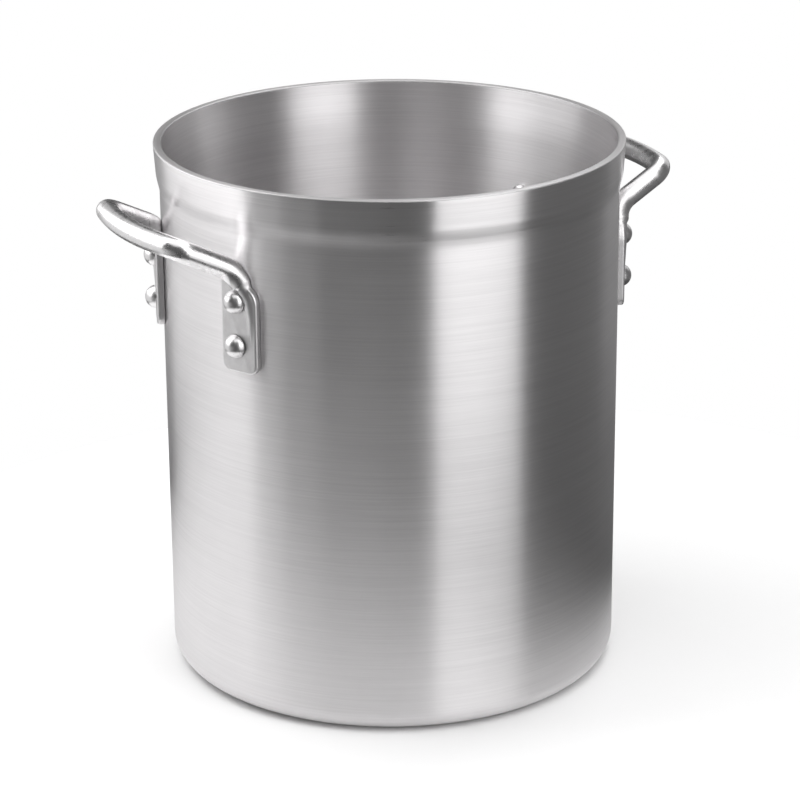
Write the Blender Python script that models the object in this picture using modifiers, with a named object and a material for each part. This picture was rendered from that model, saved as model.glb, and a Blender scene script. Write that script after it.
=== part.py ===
"""Tall aluminium stock pot with two riveted loop handles.

One open, flat-bottomed pot body, spun from thick sheet and left with a heavier band under
its rim. Two bent-rod loop handles stand on opposite sides, along X. Each handle ends in two
flattened feet, and each foot is held by two round-headed rivets that pass through the wall.

Frame: metres, +Z up, origin at the centre of the base's underside, handles along X.
"""

import math

import bmesh
import bpy
from mathutils import Matrix, Vector

# ---- Driving dimensions, in metres ----------------------------------------------------
INSIDE_DIAMETER = 0.2794        # an 11 inch pot
WALL = 0.0032                   # side wall
HEIGHT = 0.340                  # base's underside to the rim's top
BASE_THICKNESS = 0.0050
BASE_CORNER = 0.0130            # outer radius between base and wall
FLOOR_CORNER = 0.0100           # inner radius between floor and wall

RIM_THICKNESS = 0.0051
RIM_EDGE = 0.0010               # rounding of the rim's two edges, beside its flat top
RIM_PROUD = 0.0033              # band's outer face at the rim, beyond the wall
BAND_PROUD = 0.0022             # band's outer face at its lower edge, beyond the wall
BAND_HEIGHT = 0.0170            # rim's top down to the band's lower edge
STEP_HEIGHT = 0.0150            # soft step from the band down to the wall
FLARE_HEIGHT = 0.0320           # height over which the inside opens towards the rim

ROD_RADIUS = 0.0067
GRIP_REACH = 0.1717             # pot's axis to the grip's corners, on the centreline
GRIP_HALF_SPAN = 0.0501         # handle's centre plane to a corner, on the centreline
GRIP_Z = 0.3067
GRIP_BEND = 0.0120              # centreline radius of the grip's corners
GRIP_BOW = 0.0104               # how far beyond its corners the grip's two slopes would meet
GRIP_ARC = 0.1730               # radius of the arc that joins the two slopes
LEG_ANGLE = math.radians(21.2)  # where a leg meets the wall, from the handle's centre plane
LEG_PROUD = 0.0016              # leg's corner beyond the wall, where it turns down
LEG_Z = 0.2879
LEG_BEND = 0.0190               # centreline radius of the bend at the wall

# The rod's end runs down a foot's outer edge as a ridge that narrows and dies out.
# Each place: angle, distance beyond the wall, height, radius of the bend, radius of the rod.
RIDGE = (
    (math.radians(26.9), 0.0012, 0.2320, 0.0, 0.0030),
    (math.radians(26.6), 0.0020, 0.2610, 0.020, 0.0038),
    (math.radians(26.0), 0.0022, 0.2715, 0.008, 0.0043),
    (math.radians(24.2), 0.0018, 0.2780, 0.004, 0.0052),
)

FOOT_ANGLE = math.radians(23.0)
FOOT_WIDTH = 0.0268
FOOT_BOTTOM = 0.2260
FOOT_TOP = 0.2865               # at the edge nearer the handle's middle
FOOT_OUTER_TOP = 0.2815         # at the other edge, under the rod
FOOT_THICKNESS = 0.0047
FOOT_CORNER = 0.0055            # lower corners
FOOT_TOP_CORNER = 0.0050
FOOT_SHOULDER = 0.0120          # outer upper corner

RIVET_ANGLE = math.radians(22.2)
RIVET_HEIGHTS = (0.2425, 0.2700)
RIVET_HEAD_RADIUS = 0.0072
RIVET_HEAD_HEIGHT = 0.0061
RIVET_SHANK_RADIUS = 0.0024
RIVET_TAIL_RADIUS = 0.0065      # low head inside the pot
RIVET_TAIL_HEIGHT = 0.0026

GAP = 0.0003                    # left between pieces that touch
CUT_MARGIN = 0.0050             # how far a cutter runs past what it cuts

# ---- Facets -----------------------------------------------------------------------------
BODY_STEPS = 80
SHELL_STEPS = 160
RIVET_STEPS = 16
ROD_BEVEL_RESOLUTION = 6
ARC_STEP = math.radians(18.0)
ARC_CHORD = 0.009

# ---- Derived sizes ----------------------------------------------------------------------
WALL_INSIDE = INSIDE_DIAMETER / 2
WALL_OUTSIDE = WALL_INSIDE + WALL
FOOT_INSIDE = WALL_OUTSIDE + GAP
FOOT_OUTSIDE = FOOT_INSIDE + FOOT_THICKNESS

ALUMINIUM = (0.62, 0.62, 0.63, 1.0)
POLISHED = (0.78, 0.78, 0.79, 1.0)


# ---- Scene and materials ------------------------------------------------------------------
def clear_scene():
    for found in list(bpy.data.objects):
        bpy.data.objects.remove(found, do_unlink=True)


def new_collection(name):
    made = bpy.data.collections.new(name)
    bpy.context.scene.collection.children.link(made)
    return made


def metal(name, colour, roughness):
    made = bpy.data.materials.new(name)
    made.use_nodes = True
    shader = made.node_tree.nodes["Principled BSDF"]
    shader.inputs["Base Color"].default_value = colour
    shader.inputs["Metallic"].default_value = 1.0
    shader.inputs["Roughness"].default_value = roughness
    return made


def add_mesh(name, mesh, collection):
    made = bpy.data.objects.new(name, mesh)
    collection.objects.link(made)
    return made


def as_cutter(cutter):
    cutter.hide_render = True
    cutter.display_type = "WIRE"
    return cutter


def add_boolean(target, operation, operand):
    modifier = target.modifiers.new(operation.title(), "BOOLEAN")
    modifier.operation = operation
    modifier.solver = "EXACT"
    if isinstance(operand, bpy.types.Collection):
        modifier.operand_type = "COLLECTION"
        modifier.collection = operand
    else:
        modifier.object = operand


def baked_mesh(source, name):
    """The evaluated mesh of an object, with loose caps welded."""
    bpy.context.view_layer.update()
    evaluated = source.evaluated_get(bpy.context.evaluated_depsgraph_get())
    mesh = bpy.data.meshes.new_from_object(evaluated)
    mesh.name = name
    shape = bmesh.new()
    shape.from_mesh(mesh)
    bmesh.ops.remove_doubles(shape, verts=shape.verts, dist=1e-6)
    shape.to_mesh(mesh)
    shape.free()
    return mesh


def curve_to_object(source, name, collection):
    """Replace a curve object by a mesh object of the same shape, in the same place."""
    made = add_mesh(name, baked_mesh(source, name), collection)
    made.matrix_world = source.matrix_world
    bpy.data.objects.remove(source, do_unlink=True)
    return made


# ---- Outlines -------------------------------------------------------------------------------
def arc(centre, radius, start, end):
    """Points of a plane arc, both ends included; angles in radians."""
    steps = max(2, math.ceil(abs(end - start) / ARC_STEP))
    turns = [start + (end - start) * step / steps for step in range(steps + 1)]
    return [(centre[0] + radius * math.cos(turn), centre[1] + radius * math.sin(turn))
            for turn in turns]


def soft_step(start, end, steps):
    """Points of an S-shaped run from start to end, flat along Z at both of its ends."""
    points = []
    for step in range(steps + 1):
        share = step / steps
        blend = (1 - math.cos(math.pi * share)) / 2
        points.append((start[0] + (end[0] - start[0]) * blend,
                       start[1] + (end[1] - start[1]) * share))
    return points


def rounded_corner(before, corner, after, radius):
    """Points of an arc of the given radius that cuts a corner of a path in space."""
    back = (before - corner).normalized()
    on = (after - corner).normalized()
    half = back.angle(on) / 2
    start = corner + back * (radius / math.tan(half))
    centre = corner + (back + on).normalized() * (radius / math.sin(half))
    sweep = math.pi - 2 * half
    spoke = start - centre
    axis = spoke.cross(on)
    steps = max(2, math.ceil(sweep / ARC_STEP), math.ceil(sweep * radius / ARC_CHORD))
    return [centre + Matrix.Rotation(sweep * step / steps, 3, axis) @ spoke
            for step in range(steps + 1)]


def on_wall(angle, proud, z):
    """A point at an angle from +X round the pot, at a distance beyond its wall."""
    radius = WALL_OUTSIDE + proud
    return Vector((radius * math.cos(angle), radius * math.sin(angle), z))


# ---- Turned pieces ----------------------------------------------------------------------------
def turned(name, profile, steps, collection, ring=False):
    """A closed solid turned about Z from (radius, z) points that run down its outer side.

    The profile of a ring closes on itself; any other starts and ends on the axis.
    """
    mesh = bpy.data.meshes.new(name)
    points = [(radius, 0.0, z) for radius, z in profile]
    edges = [(index, index + 1) for index in range(len(points) - 1)]
    if ring:
        edges.append((len(points) - 1, 0))
    mesh.from_pydata(points, edges, [])
    made = add_mesh(name, mesh, collection)
    screw = made.modifiers.new("Screw", "SCREW")
    screw.steps = steps
    screw.render_steps = steps
    screw.use_merge_vertices = True
    screw.merge_threshold = 1e-6
    screw.use_smooth_shade = True
    return made


def body_profile():
    """Floor, inner wall, rim, band, outer wall and base, from the axis back to the axis."""
    rim_outside = WALL_OUTSIDE + RIM_PROUD
    rim_inside = rim_outside - RIM_THICKNESS
    edge_centre_z = HEIGHT - RIM_EDGE
    flare_bottom = HEIGHT - FLARE_HEIGHT
    band_bottom = HEIGHT - BAND_HEIGHT
    step_bottom = band_bottom - STEP_HEIGHT

    floor_corner = arc((WALL_INSIDE - FLOOR_CORNER, BASE_THICKNESS + FLOOR_CORNER),
                       FLOOR_CORNER, -math.pi / 2, 0)
    flare = soft_step((WALL_INSIDE, flare_bottom), (rim_inside, edge_centre_z), 4)
    inner_edge = arc((rim_inside + RIM_EDGE, edge_centre_z), RIM_EDGE, math.pi, math.pi / 2)
    outer_edge = arc((rim_outside - RIM_EDGE, edge_centre_z), RIM_EDGE, math.pi / 2, 0)
    step = soft_step((WALL_OUTSIDE + BAND_PROUD, band_bottom), (WALL_OUTSIDE, step_bottom), 6)
    base_corner = arc((WALL_OUTSIDE - BASE_CORNER, BASE_CORNER), BASE_CORNER, 0, -math.pi / 2)
    return ([(0.0, BASE_THICKNESS)] + floor_corner + flare[:-1] + inner_edge + outer_edge
            + step + base_corner + [(0.0, 0.0)])


def rivet_profile():
    """Domed head at the top, shank, and low set head; z = 0 lies on the foot's outer face."""
    head_arc_radius = ((RIVET_HEAD_RADIUS ** 2 + RIVET_HEAD_HEIGHT ** 2)
                       / (2 * RIVET_HEAD_HEIGHT))
    head_centre = RIVET_HEAD_HEIGHT - head_arc_radius
    head_start = math.asin(RIVET_HEAD_RADIUS / head_arc_radius)
    dome = arc((0.0, head_centre), head_arc_radius, math.pi / 2, math.pi / 2 - head_start)
    sag = WALL_INSIDE - math.sqrt(WALL_INSIDE ** 2 - RIVET_TAIL_RADIUS ** 2)
    tail_seat = -(FOOT_OUTSIDE - WALL_INSIDE) - sag - 2 * GAP
    tail_top = tail_seat - RIVET_TAIL_HEIGHT
    tail_round = RIVET_TAIL_HEIGHT * 0.75
    tail_edge = arc((RIVET_TAIL_RADIUS - tail_round, tail_top + tail_round), tail_round,
                    0, -math.pi / 2)
    return ([(0.0, RIVET_HEAD_HEIGHT)] + dome[1:]
            + [(RIVET_SHANK_RADIUS, 0.0), (RIVET_SHANK_RADIUS, tail_seat),
               (RIVET_TAIL_RADIUS, tail_seat)] + tail_edge[::3] + [(0.0, tail_top)])


def radial_frame(angle, radius, z):
    """Places a piece made along +Z so that its +Z points out from the pot's axis."""
    out = Matrix.Rotation(angle, 4, "Z") @ Matrix.Rotation(math.pi / 2, 4, "Y")
    place = Vector((radius * math.cos(angle), radius * math.sin(angle), z))
    return Matrix.Translation(place) @ out


# ---- Sub-parts ------------------------------------------------------------------------------------
def rivet_places():
    """Name and (angle, z) of each rivet."""
    places = {}
    for side, turn in (("right", 0.0), ("left", math.pi)):
        for foot, sign in (("rear", 1), ("front", -1)):
            for level, z in zip(("lower", "upper"), RIVET_HEIGHTS):
                # the left handle is the right one turned half a turn, so its feet swap ends
                end = foot if side == "right" else {"rear": "front", "front": "rear"}[foot]
                name = f"rivet_{side}_{end}_{level}"
                places[name] = (turn + sign * RIVET_ANGLE, z)
    return places


def make_radial_cutters(kind, radius, inside, outside, collection):
    """A cylinder for every rivet, on its axis, between two distances from the pot's axis."""
    for name, (angle, z) in rivet_places().items():
        shape = bmesh.new()
        bmesh.ops.create_cone(shape, cap_ends=True, segments=RIVET_STEPS, radius1=radius,
                              radius2=radius, depth=outside - inside)
        mesh = bpy.data.meshes.new(f"{kind}_{name}")
        shape.to_mesh(mesh)
        shape.free()
        cutter = as_cutter(add_mesh(f"{kind}_{name}", mesh, collection))
        cutter.matrix_world = radial_frame(angle, (inside + outside) / 2, z)


def make_body(collection, holes):
    body = turned("pot_body", body_profile(), BODY_STEPS, collection)
    body.data.materials.append(metal("brushed aluminium", ALUMINIUM, 0.32))
    add_boolean(body, "DIFFERENCE", holes)
    return body


def rod_path():
    """Centreline points of one handle's rod and the rod's radius at each of them."""
    half = [(on_wall(angle, proud, z), bend, radius) for angle, proud, z, bend, radius in RIDGE]
    half.append((on_wall(LEG_ANGLE, LEG_PROUD, LEG_Z), LEG_BEND, ROD_RADIUS))
    half.append((Vector((GRIP_REACH, GRIP_HALF_SPAN, GRIP_Z)), GRIP_BEND, ROD_RADIUS))
    crest = (Vector((GRIP_REACH + GRIP_BOW, 0.0, GRIP_Z)), GRIP_ARC, ROD_RADIUS)
    other = [(Vector((corner.x, -corner.y, corner.z)), bend, radius)
             for corner, bend, radius in reversed(half)]
    route = half + [crest] + other
    path = [(route[0][0], route[0][2])]
    for (before, _, _), (corner, bend, radius), (after, _, _) in zip(route, route[1:], route[2:]):
        path += [(point, radius) for point in rounded_corner(before, corner, after, bend)]
    path.append((route[-1][0], route[-1][2]))
    return path


def make_rod(collection):
    """One handle's bent rod, as a mesh."""
    curve = bpy.data.curves.new("rod_path", "CURVE")
    curve.dimensions = "3D"
    curve.bevel_depth = ROD_RADIUS
    curve.bevel_resolution = ROD_BEVEL_RESOLUTION
    curve.use_fill_caps = True
    path = rod_path()
    spline = curve.splines.new("POLY")
    spline.points.add(len(path) - 1)
    for target, (point, radius) in zip(spline.points, path):
        target.co = (*point, 1.0)
        target.radius = radius / ROD_RADIUS
    rod = bpy.data.objects.new("rod_path", curve)
    collection.objects.link(rod)
    return curve_to_object(rod, "rod", collection)


def foot_outline():
    """Outline of a foot, x across it away from the handle's middle, y up from its bottom."""
    half = FOOT_WIDTH / 2
    height = FOOT_TOP - FOOT_BOTTOM
    outer_height = FOOT_OUTER_TOP - FOOT_BOTTOM
    corners = ((half - FOOT_CORNER, FOOT_CORNER, FOOT_CORNER, -math.pi / 2),
               (half - FOOT_SHOULDER, outer_height - FOOT_SHOULDER, FOOT_SHOULDER, 0.0),
               (FOOT_TOP_CORNER - half, height - FOOT_TOP_CORNER, FOOT_TOP_CORNER, math.pi / 2),
               (FOOT_CORNER - half, FOOT_CORNER, FOOT_CORNER, math.pi))
    points = []
    for x, y, radius, start in corners:
        points += arc((x, y), radius, start, start + math.pi / 2)
    return points


def make_foot(sign, shell, collection):
    """One flattened foot, bent round the wall; sign is +1 or -1 for its side of the handle."""
    curve = bpy.data.curves.new("foot_outline", "CURVE")
    curve.dimensions = "2D"
    curve.fill_mode = "BOTH"
    curve.extrude = FOOT_THICKNESS + 2 * CUT_MARGIN
    points = foot_outline()
    spline = curve.splines.new("POLY")
    spline.points.add(len(points) - 1)
    spline.use_cyclic_u = True
    for target, (x, y) in zip(spline.points, points):
        target.co = (sign * x, y, 0.0, 1.0)
    plate = bpy.data.objects.new("foot_outline", curve)
    collection.objects.link(plate)
    angle = sign * FOOT_ANGLE
    across = Vector((-math.sin(angle), math.cos(angle), 0.0))
    up = Vector((0.0, 0.0, 1.0))
    out = across.cross(up)
    place = Vector((math.cos(angle), math.sin(angle), 0.0)) * FOOT_OUTSIDE + up * FOOT_BOTTOM
    plate.matrix_world = (Matrix.Translation(place)
                          @ Matrix((across, up, out)).transposed().to_4x4())
    foot = curve_to_object(plate, "foot", collection)
    add_boolean(foot, "INTERSECT", shell)
    return foot


def make_foot_shell(bottom, top, collection):
    """The ring about Z that the feet are cut from."""
    profile = [(FOOT_INSIDE, bottom), (FOOT_INSIDE, top), (FOOT_OUTSIDE, top),
               (FOOT_OUTSIDE, bottom)]
    return as_cutter(turned("foot_shell", profile, SHELL_STEPS, collection, ring=True))


def make_wall_clearance(bottom, top, collection):
    """The cylinder about Z that a handle stays clear of."""
    profile = [(0.0, top), (FOOT_INSIDE, top), (FOOT_INSIDE, bottom), (0.0, bottom)]
    return as_cutter(turned("wall_clearance", profile, SHELL_STEPS, collection))


def make_handles(collection, cutters, holes, seats):
    """Both handles: bent rod and two feet in one piece, clear of the wall and drilled."""
    shell = make_foot_shell(FOOT_BOTTOM - CUT_MARGIN, FOOT_TOP + CUT_MARGIN, cutters)
    wall = make_wall_clearance(FOOT_BOTTOM - 2 * CUT_MARGIN, HEIGHT + CUT_MARGIN, cutters)
    rod = make_rod(cutters)
    for sign in (1, -1):
        add_boolean(rod, "UNION", as_cutter(make_foot(sign, shell, cutters)))
    add_boolean(rod, "DIFFERENCE", wall)
    add_boolean(rod, "DIFFERENCE", holes)
    add_boolean(rod, "DIFFERENCE", seats)

    mesh = baked_mesh(as_cutter(rod), "loop_handle")
    mesh.materials.clear()
    mesh.materials.append(metal("polished aluminium", POLISHED, 0.10))
    mesh.shade_smooth()
    mesh.set_sharp_from_angle(angle=math.radians(40))
    for side, turn in (("right", 0.0), ("left", math.pi)):
        handle = add_mesh(f"handle_{side}", mesh, collection)
        handle.rotation_euler.z = turn


def make_rivets(collection):
    finish = metal("rivet aluminium", POLISHED, 0.22)
    for name, (angle, z) in rivet_places().items():
        rivet = turned(name, rivet_profile(), RIVET_STEPS, collection)
        rivet.data.materials.append(finish)
        rivet.matrix_world = radial_frame(angle, FOOT_OUTSIDE + GAP, z)


def main():
    clear_scene()
    pot = new_collection("stock_pot")
    cutters = new_collection("cutters")
    holes = new_collection("hole_cutters")
    make_radial_cutters("hole", RIVET_SHANK_RADIUS + GAP, WALL_INSIDE - CUT_MARGIN,
                        FOOT_OUTSIDE + CUT_MARGIN, holes)
    seats = new_collection("seat_cutters")
    make_radial_cutters("seat", RIVET_HEAD_RADIUS + GAP, FOOT_OUTSIDE + GAP / 4,
                        FOOT_OUTSIDE + RIVET_HEAD_HEIGHT + CUT_MARGIN, seats)
    make_body(pot, holes)
    make_handles(pot, cutters, holes, seats)
    make_rivets(pot)


main()
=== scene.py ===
"""Looks of a tall spun-aluminium stock pot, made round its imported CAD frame.

The pot body, the two bent-rod handles and the eight rivets are remade smooth and fine in the
places that the frame gives. All of it is bare aluminium: spun and brushed round the pot's
axis, polished on the handles, and half polished on the rivets.

Metres, +Z up, the pot's axis on Z, the handles along X.
"""

import math

import bmesh
import bpy
from mathutils import Matrix, Vector


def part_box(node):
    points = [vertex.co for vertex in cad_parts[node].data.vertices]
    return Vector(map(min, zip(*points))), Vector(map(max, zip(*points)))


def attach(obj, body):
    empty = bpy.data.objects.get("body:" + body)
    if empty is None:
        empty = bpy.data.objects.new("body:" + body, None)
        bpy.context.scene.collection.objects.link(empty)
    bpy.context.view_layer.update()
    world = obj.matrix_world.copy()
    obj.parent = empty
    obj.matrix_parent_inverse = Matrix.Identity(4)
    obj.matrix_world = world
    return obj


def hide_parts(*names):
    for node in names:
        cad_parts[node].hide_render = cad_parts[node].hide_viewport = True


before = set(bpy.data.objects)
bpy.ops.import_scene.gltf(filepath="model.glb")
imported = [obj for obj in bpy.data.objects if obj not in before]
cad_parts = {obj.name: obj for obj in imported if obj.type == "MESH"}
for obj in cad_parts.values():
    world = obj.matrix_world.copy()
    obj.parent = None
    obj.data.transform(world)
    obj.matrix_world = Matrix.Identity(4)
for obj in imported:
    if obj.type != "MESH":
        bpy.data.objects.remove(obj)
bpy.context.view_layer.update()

# ---- The frame's places and sizes ------------------------------------------------------------
_, BODY_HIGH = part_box("pot_body")
HANDLE_LOW, HANDLE_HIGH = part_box("handle_right")
HEIGHT = BODY_HIGH.z
RIM_OUTSIDE = BODY_HIGH.x

# ---- Shape of the pot body -------------------------------------------------------------------
RIM_PROUD = 0.0033              # band's outer face at the rim, beyond the wall
BAND_PROUD = 0.0022             # band's outer face at its lower edge, beyond the wall
RIM_THICKNESS = 0.0051
RIM_EDGE = 0.0010               # rounding of the rim's two edges, beside its flat top
WALL = 0.0032
BASE_THICKNESS = 0.0050
BASE_CORNER = 0.0130
FLOOR_CORNER = 0.0100
BAND_HEIGHT = 0.0170            # rim's top down to the band's lower edge
STEP_HEIGHT = 0.0150            # soft step from the band down to the wall
FLARE_HEIGHT = 0.0320           # height over which the inside opens towards the rim
WALL_OUTSIDE = RIM_OUTSIDE - RIM_PROUD
WALL_INSIDE = WALL_OUTSIDE - WALL

# ---- Shape of a handle -----------------------------------------------------------------------
ROD_RADIUS = 0.0067
GRIP_Z = HANDLE_HIGH.z - ROD_RADIUS
GRIP_REACH = 0.1717             # pot's axis to the grip's corners, on the centreline
GRIP_HALF_SPAN = 0.0501         # handle's centre plane to a corner, on the centreline
GRIP_BEND = 0.0120
GRIP_BOW = 0.0104               # how far beyond its corners the grip's two slopes would meet
GRIP_ARC = 0.1730               # radius of the arc that joins the two slopes
LEG_ANGLE = math.radians(21.2)
LEG_PROUD = 0.0016
LEG_Z = 0.2879
LEG_BEND = 0.0190
# The rod's thinner end, which runs down the foot as a ridge, from its tip up: the angle round the
# pot, the distance beyond the wall, the height, the bend's radius and the rod's radius.
RIDGE = (
    (math.radians(26.9), 0.0012, 0.2320, 0.0, 0.0030),
    (math.radians(26.6), 0.0020, 0.2610, 0.020, 0.0038),
    (math.radians(26.0), 0.0022, 0.2715, 0.008, 0.0043),
    (math.radians(24.2), 0.0018, 0.2780, 0.004, 0.0052),
)
GAP = 0.0003                    # between a handle and the wall
FOOT_ANGLE = math.radians(23.0)
FOOT_WIDTH = 0.0268
FOOT_BOTTOM = HANDLE_LOW.z
FOOT_TOP = 0.2865               # at the edge nearer the handle's middle
FOOT_OUTER_TOP = 0.2815         # at the other edge, under the rod
FOOT_THICKNESS = 0.0047
FOOT_CORNER = 0.0055            # lower corners
FOOT_TOP_CORNER = 0.0050
FOOT_SHOULDER = 0.0120          # outer upper corner
FOOT_EDGE = 0.0012              # rounding of the foot's outer edge
FOOT_EDGE_MIDDLE = 0.3          # how far in the rounding's middle lies, as a share of FOOT_EDGE
FOOT_INSIDE = WALL_OUTSIDE + GAP
FOOT_OUTSIDE = FOOT_INSIDE + FOOT_THICKNESS
SEAT_RISE = GAP / 4             # a rivet's seat is cut down to this far above the foot's face
CUT_MARGIN = 0.0050             # how far a cutter runs past what it cuts

# ---- Shape of a rivet ------------------------------------------------------------------------
HEAD_RADIUS = 0.0072
HEAD_HEIGHT = 0.0061
SHANK_RADIUS = 0.0024
TAIL_RADIUS = 0.0065
TAIL_HEIGHT = 0.0026
TAIL_ROUNDING = 0.75            # share of the tail's height that its edge is rounded by

# ---- Fineness --------------------------------------------------------------------------------
POT_STEPS = 384                 # faces round the pot
RIVET_STEPS = 64
FLOOR_STEPS = 128
ROW_HEIGHT = 0.002              # between rows of faces up the wall
RIM_ROW = 0.0008                # across the rim's flat top
BASE_ROW = 0.008                # across the base
FLARE_ROWS = 10
BAND_STEP_ROWS = 12
ARC_STEP = math.radians(7.5)
ARC_CHORD = 0.003
ROD_BEVEL_RESOLUTION = 14
MERGE_DISTANCE = 1e-6
VOXEL = 0.0004                  # grid on which a handle's rod and feet are blended
EASE_FACTOR = 0.5
EASE_ROUNDS = 12
SHARP_ANGLE = math.radians(50)  # a rivet's edges above this angle stay crisp

# ---- Finish of the metal ---------------------------------------------------------------------
SPUN_GREYS = ((0.755, 0.74, 0.747), (0.855, 0.84, 0.847))    # darkest and lightest colour
POLISHED_GREYS = ((0.73, 0.72, 0.725), (0.88, 0.87, 0.875))
RIVET_GREYS = ((0.77, 0.76, 0.765), (0.87, 0.86, 0.865))
POLISHED_ROUGHNESS = (0.24, 0.46)
RIVET_ROUGHNESS = (0.27, 0.36)
LINES_PER_METRE = 900.0         # spinning lines, up the wall and out across the base
LINE_WANDER = 1.6               # how much the lines change on their way round the pot
LINE_DEPTH = 0.00002
LINE_SHARE = 0.6                # of the lines in the spun metal's tone; soft clouds are the rest
CLOUDS_PER_METRE = 9.0
ACROSS_THE_LINES = 0.25         # of a turn, so that highlights are drawn out up the wall
SATIN_FROM = 0.0004             # beyond a foot's face, where its satin starts to fade
SATIN_TO = 0.0024               # and where only the rod's polish is left
SATIN_WEAR = 0.4                # how much more worn the satin is
SCUFFS_PER_METRE = 150.0
WAVES_PER_METRE = 60.0
WAVE_DEPTH = 0.0002
PITS_PER_METRE = 500.0
PIT_DEPTH = 0.0001
SOFT_BUMP = 0.5

# ---- Sizes of the studio ---------------------------------------------------------------------
# A place on the studio's plan is (to the camera's right of the pot's axis, nearer the camera).
CARD_HEIGHTS = (0.0, 0.30, 0.70, 1.40)    # edges of a tall card's three parts
OVERHEAD_HEIGHT = 2.0
OVERHEAD_SIZE = 2.4
FLOOR_CENTRE = (-0.10, 0.03)
FLOOR_RADIUS = 0.305
WIDE_FLOOR_CENTRE = (0.04, 0.0)
WIDE_FLOOR_RADIUS = 0.45
FLOOR_DROP = 0.0002             # from the floor down to the wide floor
FLOOR_THICKNESS = 0.0001
FLOOR_GREY = 0.9
FLOOR_ROUGHNESS = 0.9
ROOM_GREY = 0.075

# ---- View ------------------------------------------------------------------------------------
VIEW_AZIMUTH = math.radians(29.3)    # from -Y towards -X
VIEW_ELEVATION = math.radians(19.9)
VIEW_ROLL = -0.0075             # in radians
VIEW_DISTANCE = 1.8814          # from the middle of the pot's axis
SENSOR = 36.0                   # sensor and lens in millimetres
LENS = 132.6
SHIFT = (0.0108, -0.0080)       # moves the pot a little left and up in the picture


# ---- Outlines --------------------------------------------------------------------------------
def arc(centre, radius, start, end):
    """Points of a plane arc, both ends included; angles in radians."""
    steps = max(2, math.ceil(abs(end - start) / ARC_STEP))
    turns = [start + (end - start) * step / steps for step in range(steps + 1)]
    return [(centre[0] + radius * math.cos(turn), centre[1] + radius * math.sin(turn))
            for turn in turns]


def soft_step(start, end, steps):
    """Points of an S-shaped run from start to end, flat along Z at both of its ends."""
    points = []
    for step in range(steps + 1):
        share = step / steps
        blend = (1 - math.cos(math.pi * share)) / 2
        points.append((start[0] + (end[0] - start[0]) * blend,
                       start[1] + (end[1] - start[1]) * share))
    return points


def straight(start, end, spacing):
    """Evenly spaced points between two points, without either end."""
    length = math.hypot(end[0] - start[0], end[1] - start[1])
    steps = max(1, round(length / spacing))
    return [(start[0] + (end[0] - start[0]) * step / steps,
             start[1] + (end[1] - start[1]) * step / steps) for step in range(1, steps)]


def rounded_corner(before, corner, after, radius):
    """Points of an arc of the given radius that cuts a corner of a path in space."""
    back = (before - corner).normalized()
    on = (after - corner).normalized()
    half = back.angle(on) / 2
    start = corner + back * (radius / math.tan(half))
    centre = corner + (back + on).normalized() * (radius / math.sin(half))
    sweep = math.pi - 2 * half
    spoke = start - centre
    axis = spoke.cross(on)
    steps = max(2, math.ceil(sweep / ARC_STEP), math.ceil(sweep * radius / ARC_CHORD))
    return [centre + Matrix.Rotation(sweep * step / steps, 3, axis) @ spoke
            for step in range(steps + 1)]


def on_wall(angle, proud, z):
    """A point at an angle from +X round the pot, at a distance beyond its wall."""
    radius = WALL_OUTSIDE + proud
    return Vector((radius * math.cos(angle), radius * math.sin(angle), z))


# ---- Mesh helpers ----------------------------------------------------------------------------
def add_object(name, data):
    """Make an object of a mesh, curve, light or camera, and put it in the scene."""
    made = bpy.data.objects.new(name, data)
    bpy.context.scene.collection.objects.link(made)
    return made


def add_shape(name, shape):
    """Make an object of a built shape, and free the shape."""
    mesh = bpy.data.meshes.new(name)
    shape.to_mesh(mesh)
    shape.free()
    return add_object(name, mesh)


def evaluated_mesh(piece):
    """A new mesh of a piece as its modifiers or its bevel make it."""
    bpy.context.view_layer.update()
    evaluated = piece.evaluated_get(bpy.context.evaluated_depsgraph_get())
    return bpy.data.meshes.new_from_object(evaluated)


def apply_modifiers(piece):
    """Replace a piece's mesh by its evaluated mesh and drop its modifiers."""
    mesh = evaluated_mesh(piece)
    mesh.name = piece.name
    piece.modifiers.clear()
    piece.data = mesh


def as_mesh_object(curve_object, name):
    """Replace a curve object by a closed mesh object of the same shape."""
    shape = bmesh.new()
    shape.from_mesh(evaluated_mesh(curve_object))
    bmesh.ops.remove_doubles(shape, verts=shape.verts, dist=MERGE_DISTANCE)
    bpy.data.objects.remove(curve_object, do_unlink=True)
    return add_shape(name, shape)


def add_boolean(target, operation, operand):
    """Join an operand to a target, or cut it from the target."""
    modifier = target.modifiers.new(operation.title(), "BOOLEAN")
    modifier.operation = operation
    modifier.solver = "EXACT"
    modifier.object = operand


def turned(name, profile, steps):
    """A closed mesh turned about Z from (radius, z) points; the first and last are on the axis."""
    shape = bmesh.new()
    turns = [2 * math.pi * step / steps for step in range(steps)]
    rings = []
    for radius, z in profile:
        if radius == 0:
            rings.append([shape.verts.new((0, 0, z))] * steps)
        else:
            rings.append([shape.verts.new((radius * math.cos(turn), radius * math.sin(turn), z))
                          for turn in turns])
    for upper, lower in zip(rings, rings[1:]):
        for step in range(steps):
            following = (step + 1) % steps
            corners = [upper[following], upper[step], lower[step], lower[following]]
            shape.faces.new(list(dict.fromkeys(corners)))
    bmesh.ops.recalc_face_normals(shape, faces=shape.faces)
    made = add_shape(name, shape)
    made.data.shade_smooth()
    return made


def radial_frame(angle, radius, z):
    """The place of a piece made along +Z whose +Z is to point out from the pot's axis."""
    out = Matrix.Rotation(angle, 4, "Z") @ Matrix.Rotation(math.pi / 2, 4, "Y")
    place = Vector((radius * math.cos(angle), radius * math.sin(angle), z))
    return Matrix.Translation(place) @ out


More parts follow.
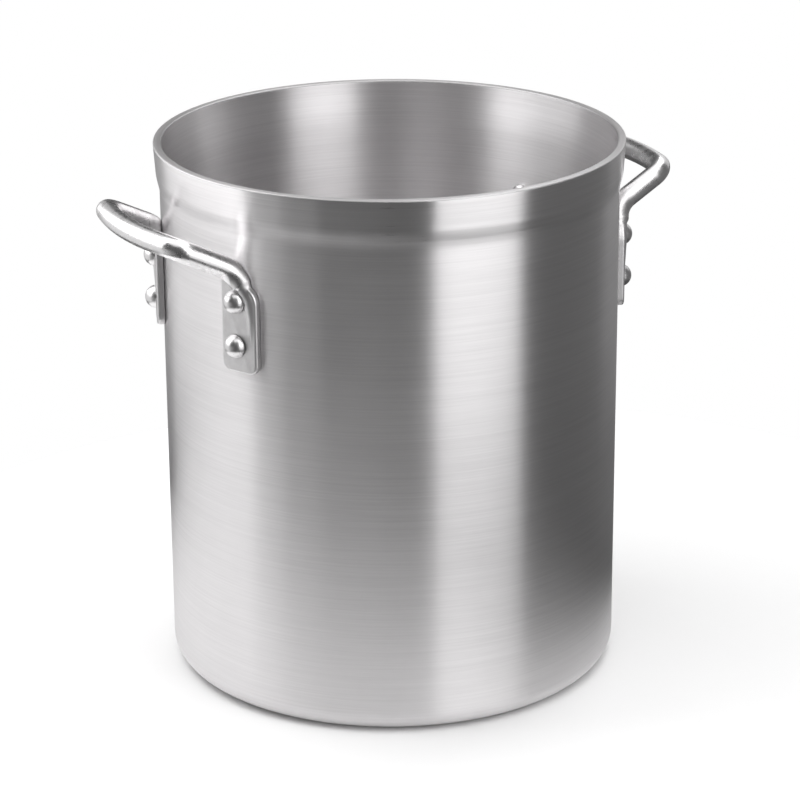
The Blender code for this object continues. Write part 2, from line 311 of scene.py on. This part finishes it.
# ---- Materials -------------------------------------------------------------------------------
class Nodes:
    """A material's node tree, with short calls to add nodes and join them."""

    def __init__(self, name):
        self.material = bpy.data.materials.new(name)
        self.material.use_nodes = True
        self.tree = self.material.node_tree
        self.shader = self.tree.nodes["Principled BSDF"]
        self.object_place = self.add("ShaderNodeTexCoord").outputs["Object"]

    def add(self, kind, **settings):
        node = self.tree.nodes.new(kind)
        for key, value in settings.items():
            setattr(node, key, value)
        return node

    def join(self, output, socket):
        self.tree.links.new(output, socket)

    def calculate(self, operation, first, second=0.0):
        """The result of a math node on two values, each a number or an output."""
        node = self.add("ShaderNodeMath", operation=operation)
        for socket, value in zip(node.inputs, (first, second)):
            if isinstance(value, (int, float)):
                socket.default_value = value
            else:
                self.join(value, socket)
        return node.outputs[0]

    def noise(self, place, scale, detail, roughness=0.55):
        node = self.add("ShaderNodeTexNoise")
        self.join(place, node.inputs["Vector"])
        node.inputs["Scale"].default_value = scale
        node.inputs["Detail"].default_value = detail
        node.inputs["Roughness"].default_value = roughness
        return node.outputs["Fac"]

    def span(self, value, low, high, to_low, to_high):
        """The value between low and high, mapped to between to_low and to_high."""
        node = self.add("ShaderNodeMapRange")
        self.join(value, node.inputs["Value"])
        for label, number in (("From Min", low), ("From Max", high), ("To Min", to_low),
                              ("To Max", to_high)):
            node.inputs[label].default_value = number
        return node.outputs["Result"]

    def blend(self, share, colours):
        """The first colour where the share is 0, the second where it is 1."""
        node = self.add("ShaderNodeMix", data_type="RGBA")
        self.join(share, node.inputs["Factor"])
        for label, colour in zip("AB", colours):
            node.inputs[label].default_value = (*colour, 1)
        return node.outputs["Result"]

    def bump(self, height, distance, strength=1.0):
        node = self.add("ShaderNodeBump")
        self.join(height, node.inputs["Height"])
        node.inputs["Distance"].default_value = distance
        node.inputs["Strength"].default_value = strength
        return node.outputs["Normal"]

    def around(self):
        """(angle, radius, height) of a place round the pot's axis, in radians and metres."""
        parts = self.add("ShaderNodeSeparateXYZ")
        self.join(self.object_place, parts.inputs[0])
        x, y, z = parts.outputs
        squares = [self.calculate("MULTIPLY", side, side) for side in (x, y)]
        radius = self.calculate("SQRT", self.calculate("ADD", *squares))
        return self.calculate("ARCTAN2", y, x), radius, z


def spun_aluminium(name, anisotropy, smoothest, roughest, shade=1.0):
    """Bare aluminium, spun and brushed round the pot's axis; shade darkens its colour, as painted
    shade.
    """
    nodes = Nodes(name)
    angle, radius, z = nodes.around()
    # Lines round the pot: nearly constant round it, and quick to change up it and outwards.
    place = nodes.add("ShaderNodeCombineXYZ")
    for operation, socket in zip(("SINE", "COSINE"), place.inputs):
        turn = nodes.calculate(operation, angle)
        nodes.join(nodes.calculate("MULTIPLY", turn, LINE_WANDER), socket)
    rise = nodes.calculate("SUBTRACT", z, radius)
    nodes.join(nodes.calculate("MULTIPLY", rise, LINES_PER_METRE), place.inputs["Z"])
    lines = nodes.noise(place.outputs[0], scale=1.0, detail=4.0, roughness=0.7)
    clouds = nodes.noise(nodes.object_place, scale=CLOUDS_PER_METRE, detail=4.0, roughness=0.6)
    tone = nodes.calculate("ADD", nodes.calculate("MULTIPLY", lines, LINE_SHARE),
                           nodes.calculate("MULTIPLY", clouds, 1 - LINE_SHARE))
    shares = nodes.span(tone, low=0.35, high=0.65, to_low=0.0, to_high=1.0)
    greys = [[shade * part for part in colour] for colour in SPUN_GREYS]
    shader = nodes.shader
    shader.inputs["Metallic"].default_value = 1.0
    shader.inputs["Anisotropic"].default_value = anisotropy
    shader.inputs["Anisotropic Rotation"].default_value = ACROSS_THE_LINES
    tangent = nodes.add("ShaderNodeTangent", direction_type="RADIAL", axis="Z")
    nodes.join(tangent.outputs["Tangent"], shader.inputs["Tangent"])
    nodes.join(nodes.blend(shares, greys), shader.inputs["Base Color"])
    nodes.join(nodes.span(tone, low=0.3, high=0.7, to_low=smoothest, to_high=roughest),
               shader.inputs["Roughness"])
    nodes.join(nodes.bump(lines, LINE_DEPTH), shader.inputs["Normal"])
    return nodes.material


def polished_aluminium():
    """Bare aluminium, forged and tumbled: a soft shine on the rod, satin on its flat feet."""
    nodes = Nodes("polished aluminium")
    _, radius, _ = nodes.around()
    satin = nodes.span(radius, low=FOOT_OUTSIDE + SATIN_FROM, high=FOOT_OUTSIDE + SATIN_TO,
                       to_low=1.0, to_high=0.0)
    waves = nodes.noise(nodes.object_place, scale=WAVES_PER_METRE, detail=2.0)
    scuffs = nodes.noise(nodes.object_place, scale=SCUFFS_PER_METRE, detail=5.0)
    worn = nodes.calculate("ADD", scuffs, nodes.calculate("MULTIPLY", satin, SATIN_WEAR))
    smoothest, roughest = POLISHED_ROUGHNESS
    shader = nodes.shader
    shader.inputs["Metallic"].default_value = 1.0
    nodes.join(nodes.blend(nodes.span(worn, low=0.3, high=1.0, to_low=1.0, to_high=0.0),
                           POLISHED_GREYS), shader.inputs["Base Color"])
    nodes.join(nodes.span(worn, low=0.35, high=0.95, to_low=smoothest, to_high=roughest),
               shader.inputs["Roughness"])
    nodes.join(nodes.bump(waves, WAVE_DEPTH, SOFT_BUMP), shader.inputs["Normal"])
    return nodes.material


def rivet_aluminium():
    """Bare aluminium rivets, half polished by the set that formed their heads."""
    nodes = Nodes("rivet aluminium")
    pits = nodes.noise(nodes.object_place, scale=PITS_PER_METRE, detail=4.0)
    smoothest, roughest = RIVET_ROUGHNESS
    shader = nodes.shader
    shader.inputs["Metallic"].default_value = 1.0
    nodes.join(nodes.blend(pits, RIVET_GREYS), shader.inputs["Base Color"])
    nodes.join(nodes.span(pits, low=0.3, high=0.7, to_low=smoothest, to_high=roughest),
               shader.inputs["Roughness"])
    nodes.join(nodes.bump(pits, PIT_DEPTH, SOFT_BUMP), shader.inputs["Normal"])
    return nodes.material


def pale_floor():
    """Plain matt white."""
    nodes = Nodes("pale floor")
    nodes.shader.inputs["Base Color"].default_value = (FLOOR_GREY, FLOOR_GREY, FLOOR_GREY, 1)
    nodes.shader.inputs["Roughness"].default_value = FLOOR_ROUGHNESS
    return nodes.material


# ---- Pot body --------------------------------------------------------------------------------
def body_profile():
    """Floor, inner wall, rim, band, outer wall and base, from the axis back to the axis."""
    rim_inside = RIM_OUTSIDE - RIM_THICKNESS
    edge_centre_z = HEIGHT - RIM_EDGE
    flare_bottom = HEIGHT - FLARE_HEIGHT
    band_bottom = HEIGHT - BAND_HEIGHT
    step_bottom = band_bottom - STEP_HEIGHT

    floor_corner = arc((WALL_INSIDE - FLOOR_CORNER, BASE_THICKNESS + FLOOR_CORNER),
                       FLOOR_CORNER, -math.pi / 2, 0)
    flare = soft_step((WALL_INSIDE, flare_bottom), (rim_inside, edge_centre_z), FLARE_ROWS)
    inner_edge = arc((rim_inside + RIM_EDGE, edge_centre_z), RIM_EDGE, math.pi, math.pi / 2)
    rim_top = straight((rim_inside + RIM_EDGE, HEIGHT), (RIM_OUTSIDE - RIM_EDGE, HEIGHT), RIM_ROW)
    outer_edge = arc((RIM_OUTSIDE - RIM_EDGE, edge_centre_z), RIM_EDGE, math.pi / 2, 0)
    step = soft_step((WALL_OUTSIDE + BAND_PROUD, band_bottom), (WALL_OUTSIDE, step_bottom),
                     BAND_STEP_ROWS)
    base_corner = arc((WALL_OUTSIDE - BASE_CORNER, BASE_CORNER), BASE_CORNER, 0, -math.pi / 2)
    middle = (0.0, BASE_THICKNESS)
    floor = [middle] + straight(middle, floor_corner[0], BASE_ROW)
    inner = straight(floor_corner[-1], flare[0], ROW_HEIGHT)
    band = straight(outer_edge[-1], step[0], ROW_HEIGHT)
    outer = straight(step[-1], base_corner[0], ROW_HEIGHT)
    base = straight(base_corner[-1], (0.0, 0.0), BASE_ROW) + [(0.0, 0.0)]
    return (floor + floor_corner + inner + flare[:-1] + inner_edge + rim_top + outer_edge
            + band + step + outer + base_corner + base)


def rivet_places():
    """Each rivet's name, with its angle round the pot and its height, as the frame has them."""
    places = {}
    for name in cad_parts:
        if name.startswith("rivet"):
            low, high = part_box(name)
            middle = (low + high) / 2
            places[name] = (math.atan2(middle.y, middle.x), middle.z)
    return places


def radial_cylinders(name, radius, inside, outside):
    """One mesh of cylinders on the rivets' axes, between two distances from the pot's axis."""
    shape = bmesh.new()
    for angle, z in rivet_places().values():
        bmesh.ops.create_cone(shape, cap_ends=True, segments=RIVET_STEPS, radius1=radius,
                              radius2=radius, depth=outside - inside,
                              matrix=radial_frame(angle, (inside + outside) / 2, z))
    return add_shape(name, shape)


def surface_of(face):
    """The pot's surface that a face is on: 0 outside, 1 inside, 2 the rim's top and its edges."""
    middle = face.center
    if middle.z > HEIGHT - RIM_EDGE:
        return 2
    over_the_base = middle.z > BASE_THICKNESS / 2
    return int(over_the_base and middle.xy.length < RIM_OUTSIDE - RIM_THICKNESS / 2)


def make_pot(outside, inside, rim):
    """The spun pot with its rivet holes, in a metal for each of its three surfaces."""
    pot = turned("spun_pot", body_profile(), POT_STEPS)
    holes = radial_cylinders("rivet_holes", SHANK_RADIUS + GAP, WALL_INSIDE - CUT_MARGIN,
                             WALL_OUTSIDE + CUT_MARGIN)
    add_boolean(pot, "DIFFERENCE", holes)
    apply_modifiers(pot)
    bpy.data.objects.remove(holes, do_unlink=True)
    pot.data.materials.clear()
    for metal in (outside, inside, rim):
        pot.data.materials.append(metal)
    for face in pot.data.polygons:
        face.material_index = surface_of(face)
    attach(pot, "root")
    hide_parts("pot_body")


# ---- Handles ---------------------------------------------------------------------------------
def rod_path():
    """Centreline points of the right handle's rod and the rod's radius at each of them."""
    half = [(on_wall(angle, proud, z), bend, radius) for angle, proud, z, bend, radius in RIDGE]
    half.append((on_wall(LEG_ANGLE, LEG_PROUD, LEG_Z), LEG_BEND, ROD_RADIUS))
    half.append((Vector((GRIP_REACH, GRIP_HALF_SPAN, GRIP_Z)), GRIP_BEND, ROD_RADIUS))
    crest = (Vector((GRIP_REACH + GRIP_BOW, 0.0, GRIP_Z)), GRIP_ARC, ROD_RADIUS)
    other = [(Vector((corner.x, -corner.y, corner.z)), bend, radius)
             for corner, bend, radius in reversed(half)]
    route = half + [crest] + other
    path = [(route[0][0], route[0][2])]
    for (before, _, _), (corner, bend, radius), (after, _, _) in zip(route, route[1:], route[2:]):
        path += [(point, radius) for point in rounded_corner(before, corner, after, bend)]
    path.append((route[-1][0], route[-1][2]))
    return path


def make_rod():
    """The right handle's rod, from one foot's tip to the other's."""
    curve = bpy.data.curves.new("rod", "CURVE")
    curve.dimensions = "3D"
    curve.bevel_depth = ROD_RADIUS
    curve.bevel_resolution = ROD_BEVEL_RESOLUTION
    curve.use_fill_caps = True
    path = rod_path()
    spline = curve.splines.new("POLY")
    spline.points.add(len(path) - 1)
    for target, (point, radius) in zip(spline.points, path):
        target.co = (*point, 1.0)
        target.radius = radius / ROD_RADIUS
    return as_mesh_object(add_object("rod", curve), "rod")


def foot_outline():
    """Outline of a foot, x across it away from the handle's middle, y up from its bottom."""
    half = FOOT_WIDTH / 2
    height = FOOT_TOP - FOOT_BOTTOM
    outer_height = FOOT_OUTER_TOP - FOOT_BOTTOM
    corners = ((half - FOOT_CORNER, FOOT_CORNER, FOOT_CORNER, -math.pi / 2),
               (half - FOOT_SHOULDER, outer_height - FOOT_SHOULDER, FOOT_SHOULDER, 0.0),
               (FOOT_TOP_CORNER - half, height - FOOT_TOP_CORNER, FOOT_TOP_CORNER, math.pi / 2),
               (FOOT_CORNER - half, FOOT_CORNER, FOOT_CORNER, math.pi))
    points = []
    for x, y, radius, start in corners:
        points += arc((x, y), radius, start, start + math.pi / 2)
    return points


def make_foot(sign):
    """One flattened foot, bent round the wall, its outer edges eased."""
    outline = foot_outline()
    edge_middle = FOOT_EDGE * FOOT_EDGE_MIDDLE
    layers = ((FOOT_INSIDE, 0.0), (FOOT_OUTSIDE - FOOT_EDGE, 0.0),
              (FOOT_OUTSIDE - edge_middle, edge_middle), (FOOT_OUTSIDE, FOOT_EDGE))
    height = FOOT_TOP - FOOT_BOTTOM
    shape = bmesh.new()
    rings = []
    for radius, inset in layers:
        x_share = 1 - 2 * inset / FOOT_WIDTH
        y_share = 1 - 2 * inset / height
        ring = []
        for x, y in outline:
            angle = sign * (FOOT_ANGLE + x * x_share / FOOT_OUTSIDE)
            z = FOOT_BOTTOM + height / 2 + (y - height / 2) * y_share
            ring.append(shape.verts.new((radius * math.cos(angle), radius * math.sin(angle), z)))
        rings.append(ring)
    for inner, outer in zip(rings, rings[1:]):
        for index in range(len(outline)):
            following = (index + 1) % len(outline)
            shape.faces.new((inner[index], inner[following], outer[following], outer[index]))
    for ring in (rings[0], rings[-1]):
        cap = shape.faces.new(ring)
        bmesh.ops.triangulate(shape, faces=[cap])
    bmesh.ops.recalc_face_normals(shape, faces=shape.faces)
    return add_shape("foot", shape)


def make_handle_mesh():
    """The right handle's rod and feet, blended into one forged shape."""
    rod = make_rod()
    feet = [make_foot(sign) for sign in (1, -1)]
    low = FOOT_BOTTOM - 2 * CUT_MARGIN
    clearance = turned("wall_clearance", [(0.0, HEIGHT), (FOOT_INSIDE, HEIGHT),
                                          (FOOT_INSIDE, low), (0.0, low)], POT_STEPS)
    seats = radial_cylinders("rivet_seats", HEAD_RADIUS + GAP, FOOT_OUTSIDE + SEAT_RISE,
                             FOOT_OUTSIDE + HEAD_HEIGHT + CUT_MARGIN)
    for foot in feet:
        add_boolean(rod, "UNION", foot)
    add_boolean(rod, "DIFFERENCE", clearance)
    add_boolean(rod, "DIFFERENCE", seats)
    apply_modifiers(rod)
    remesh = rod.modifiers.new("Blend", "REMESH")
    remesh.mode = "VOXEL"
    remesh.voxel_size = VOXEL
    smooth = rod.modifiers.new("Ease", "SMOOTH")
    smooth.factor = EASE_FACTOR
    smooth.iterations = EASE_ROUNDS
    apply_modifiers(rod)
    mesh = rod.data
    mesh.shade_smooth()
    for spent in [rod, clearance, seats] + feet:
        bpy.data.objects.remove(spent, do_unlink=True)
    return mesh


def make_handles(metal):
    """The right handle, and the same handle turned half round the pot."""
    mesh = make_handle_mesh()
    mesh.materials.clear()
    mesh.materials.append(metal)
    for side, turn in (("right", 0.0), ("left", math.pi)):
        handle = add_object(f"loop_handle_{side}", mesh)
        handle.rotation_euler.z = turn
        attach(handle, "root")
        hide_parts(f"handle_{side}")


# ---- Rivets ----------------------------------------------------------------------------------
def rivet_profile():
    """Domed head at the top, shank, and the low tail inside the pot; z = 0 is under the head."""
    head_arc_radius = (HEAD_RADIUS ** 2 + HEAD_HEIGHT ** 2) / (2 * HEAD_HEIGHT)
    head_half_angle = math.asin(HEAD_RADIUS / head_arc_radius)
    dome = arc((0.0, HEAD_HEIGHT - head_arc_radius), head_arc_radius, math.pi / 2,
               math.pi / 2 - head_half_angle)
    sag = WALL_INSIDE - math.sqrt(WALL_INSIDE ** 2 - TAIL_RADIUS ** 2)
    tail_seat = -(FOOT_OUTSIDE - WALL_INSIDE) - sag - 2 * GAP
    tail_top = tail_seat - TAIL_HEIGHT
    tail_round = TAIL_HEIGHT * TAIL_ROUNDING
    tail_edge = arc((TAIL_RADIUS - tail_round, tail_top + tail_round), tail_round,
                    0, -math.pi / 2)
    shank = [(SHANK_RADIUS, 0.0), (SHANK_RADIUS, tail_seat)]
    return ([(0.0, HEAD_HEIGHT)] + dome[1:] + shank + [(TAIL_RADIUS, tail_seat)] + tail_edge
            + [(0.0, tail_top)])


def make_rivets(metal):
    """A round rivet for each of the frame's rivets."""
    for node, (angle, z) in rivet_places().items():
        rivet = turned(node.replace("rivet", "round_rivet"), rivet_profile(), RIVET_STEPS)
        rivet.data.set_sharp_from_angle(angle=SHARP_ANGLE)
        rivet.data.materials.append(metal)
        rivet.matrix_world = radial_frame(angle, FOOT_OUTSIDE + GAP, z)
        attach(rivet, "root")
        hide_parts(node)


# ---- Studio ----------------------------------------------------------------------------------
def from_view(right, near):
    """A place on the studio's plan, in the frame's own directions."""
    turn = Matrix.Rotation(-VIEW_AZIMUTH, 3, "Z")
    return turn @ Vector((right, -near, 0.0))


def card(name, start, end, low, high, radiance):
    """An upright rectangular light between two places on the plan, facing the pot."""
    ends = [from_view(*place) for place in (start, end)]
    along = ends[1] - ends[0]
    middle = (ends[0] + ends[1]) / 2
    # A light shines along its own -Z, so its +Z points away from the pot.
    away = Vector((along.y, -along.x, 0.0)).normalized()
    if away.dot(middle) < 0:
        away.negate()
    light = bpy.data.lights.new(name, "AREA")
    light.shape = "RECTANGLE"
    light.size = along.length
    light.size_y = high - low
    light.energy = radiance * math.pi * light.size * light.size_y
    made = add_object(name, light)
    made.location = middle + Vector((0.0, 0.0, (low + high) / 2))
    made.rotation_euler = away.to_track_quat("Z", "Y").to_euler()
    made.visible_camera = False


def tall_card(name, start, end, radiances):
    """A wall of light in three parts, one above another, with a radiance for each."""
    for part, low, high, radiance in zip(("low", "middle", "high"), CARD_HEIGHTS,
                                         CARD_HEIGHTS[1:], radiances):
        card(f"{name}_{part}", start, end, low, high, radiance)


def overhead(name, radiance, glossy):
    """A square light over the pot, facing down, that shows in the metal or doesn't."""
    light = bpy.data.lights.new(name, "AREA")
    light.shape = "SQUARE"
    light.size = OVERHEAD_SIZE
    light.energy = radiance * math.pi * OVERHEAD_SIZE * OVERHEAD_SIZE
    made = add_object(name, light)
    made.location = (0.0, 0.0, OVERHEAD_HEIGHT)
    made.visible_camera = False
    made.visible_glossy = glossy


def make_world():
    """White behind the pot, and a dim grey room round it."""
    world = bpy.data.worlds.new("studio")
    bpy.context.scene.world = world
    world.use_nodes = True
    tree = world.node_tree
    room = tree.nodes["Background"]
    room.inputs["Color"].default_value = (ROOM_GREY, ROOM_GREY, ROOM_GREY, 1)
    white = tree.nodes.new("ShaderNodeBackground")
    white.inputs["Color"].default_value = (1, 1, 1, 1)
    path = tree.nodes.new("ShaderNodeLightPath")
    mix = tree.nodes.new("ShaderNodeMixShader")
    tree.links.new(path.outputs["Is Camera Ray"], mix.inputs["Fac"])
    tree.links.new(room.outputs[0], mix.inputs[1])
    tree.links.new(white.outputs[0], mix.inputs[2])
    tree.links.new(mix.outputs[0], tree.nodes["World Output"].inputs["Surface"])


def floor_disc(name, centre, radius, top, paint):
    """A thin round sheet of the floor."""
    low = top - FLOOR_THICKNESS
    disc = turned(name, [(0.0, top), (radius, top), (radius, low), (0.0, low)], FLOOR_STEPS)
    disc.location = from_view(*centre)
    disc.data.shade_flat()
    disc.data.materials.append(paint)
    return disc


def make_floor():
    """A pale round floor that shines in the pot, on a wider one that doesn't."""
    paint = pale_floor()
    floor_disc("floor", FLOOR_CENTRE, FLOOR_RADIUS, 0.0, paint)
    wide = floor_disc("wide_floor", WIDE_FLOOR_CENTRE, WIDE_FLOOR_RADIUS, -FLOOR_DROP, paint)
    wide.visible_glossy = False


def make_lights():
    """Upright cards between places on the plan, brighter or dimmer, and two soft lights above."""
    tall_card("back_left", (-0.30, -0.62), (-0.50, -0.38), (0.3, 0.3, 0.6))
    tall_card("left", (-0.50, -0.38), (-0.427, 0.23), (0.7, 2.2, 1.85))
    card("left_soft", (-0.427, 0.23), (-0.385, 0.36), *CARD_HEIGHTS[:2], 0.35)
    card("left_softer", (-0.385, 0.36), (-0.30, 0.50), *CARD_HEIGHTS[:2], 0.15)
    tall_card("right", (0.53, 0.315), (0.225, 0.648), (0.95, 2.25, 2.15))
    tall_card("right_fill", (0.50, -0.25), (0.53, 0.315), (0.07, 0.05, 0.05))
    tall_card("back_right", (0.20, -0.60), (0.50, -0.25), (0.1, 0.6, 2.7))
    overhead("top", 1.1, glossy=True)
    overhead("top_floor", 2.0, glossy=False)


def make_camera():
    """The viewing angle, looking down at the pot from its front left."""
    away = Vector((-math.sin(VIEW_AZIMUTH) * math.cos(VIEW_ELEVATION),
                   -math.cos(VIEW_AZIMUTH) * math.cos(VIEW_ELEVATION),
                   math.sin(VIEW_ELEVATION)))
    data = bpy.data.cameras.new("camera")
    data.sensor_width = SENSOR
    data.lens = LENS
    data.shift_x, data.shift_y = SHIFT
    camera = add_object("camera", data)
    rotation = away.to_track_quat("Z", "Y").to_matrix() @ Matrix.Rotation(VIEW_ROLL, 3, "Z")
    place = Vector((0.0, 0.0, HEIGHT / 2)) + away * VIEW_DISTANCE
    camera.matrix_world = Matrix.Translation(place) @ rotation.to_4x4()
    bpy.context.scene.camera = camera


def main():
    """Make the whole scene: the camera, the pot, its handles and rivets, and the studio."""
    make_camera()
    make_pot(
        spun_aluminium("spun outside", anisotropy=0.97, smoothest=0.265, roughest=0.345),
        spun_aluminium("spun inside", anisotropy=0.96, smoothest=0.34, roughest=0.42),
        # shade=0.75 darkens the rim's colour by a quarter: painted shade on the rim's top and its
        # edges, not a darker metal.
        spun_aluminium("trimmed rim with painted shade", anisotropy=0.5, smoothest=0.5, roughest=0.6, shade=0.75))
    make_handles(polished_aluminium())
    make_rivets(rivet_aluminium())
    make_world()
    make_floor()
    make_lights()
    # Standard keeps the floor and the background white.
    bpy.context.scene.view_settings.view_transform = "Standard"


main()
